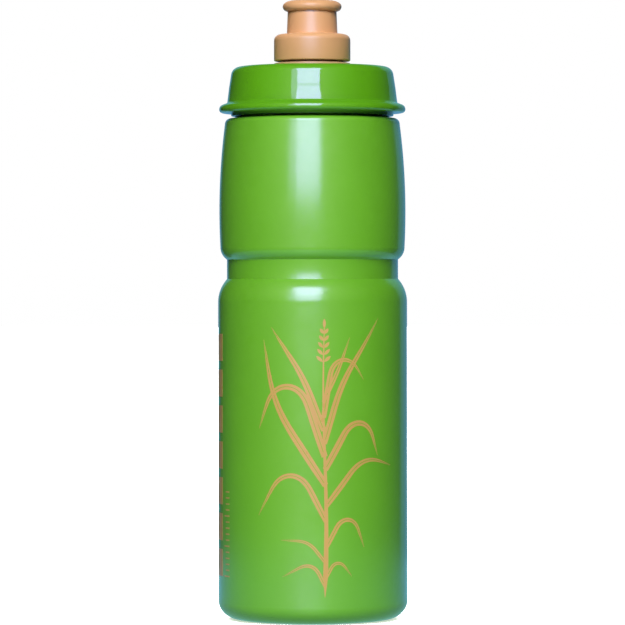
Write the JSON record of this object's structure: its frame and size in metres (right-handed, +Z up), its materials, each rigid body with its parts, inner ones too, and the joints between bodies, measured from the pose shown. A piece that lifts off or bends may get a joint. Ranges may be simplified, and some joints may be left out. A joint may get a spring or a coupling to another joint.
{
  "type": "bicycle water bottle",
  "caption": "Squeezable bicycle water bottle with a waisted barrel, a flanged screw cap and a push-pull drinking nozzle.",
  "frame": {"origin": "centre of the foot ring, on the surface that the bottle stands on", "axes": "+Z up along the bottle's axis; +Y points to the back, away from the printed front, and +X to the right of the printed front"},
  "size_m": [0.0744, 0.0744, 0.2427],
  "materials": {
    "bottle_plastic": "satin, slightly translucent soft polyethylene",
    "cap_plastic": "glossy polypropylene",
    "valve_plastic": "satin polypropylene",
    "mouthpiece_rubber": "matte soft-touch elastomer",
    "seal_rubber": "matte silicone",
    "print_ink": "opaque screen-printed ink on the bottle's front"
  },
  "bodies": {
    "bottle": {"bottle_body": "bottle_plastic"},
    "seal": {"cap_gasket": "seal_rubber"},
    "cap": {"screw_cap": "cap_plastic", "valve_stem": "valve_plastic", "stem_seal_ring": "seal_rubber", "nozzle_seal_ring": "seal_rubber"},
    "nozzle": {"nozzle_sleeve": "valve_plastic", "nozzle_mouthpiece": "mouthpiece_rubber"}
  },
  "joints": [
    {"name": "cap_lift", "type": "slide", "parent": "bottle", "child": "seal", "axis": [0, 0, 1], "range_m": [0, 0.018]},
    {"name": "cap_turn", "type": "hinge", "parent": "seal", "child": "cap", "pos_m": [0, 0, 0.2], "axis": [0, 0, 1], "range_deg": [0, 1080]},
    {"name": "nozzle_slide", "type": "slide", "parent": "cap", "child": "nozzle", "axis": [0, 0, 1], "range_m": [0, 0.0045]}
  ],
  "couplings": [
    {"joint": "cap_lift", "follows": "cap_turn", "m_per_rad": 0.00095493}
  ]
}
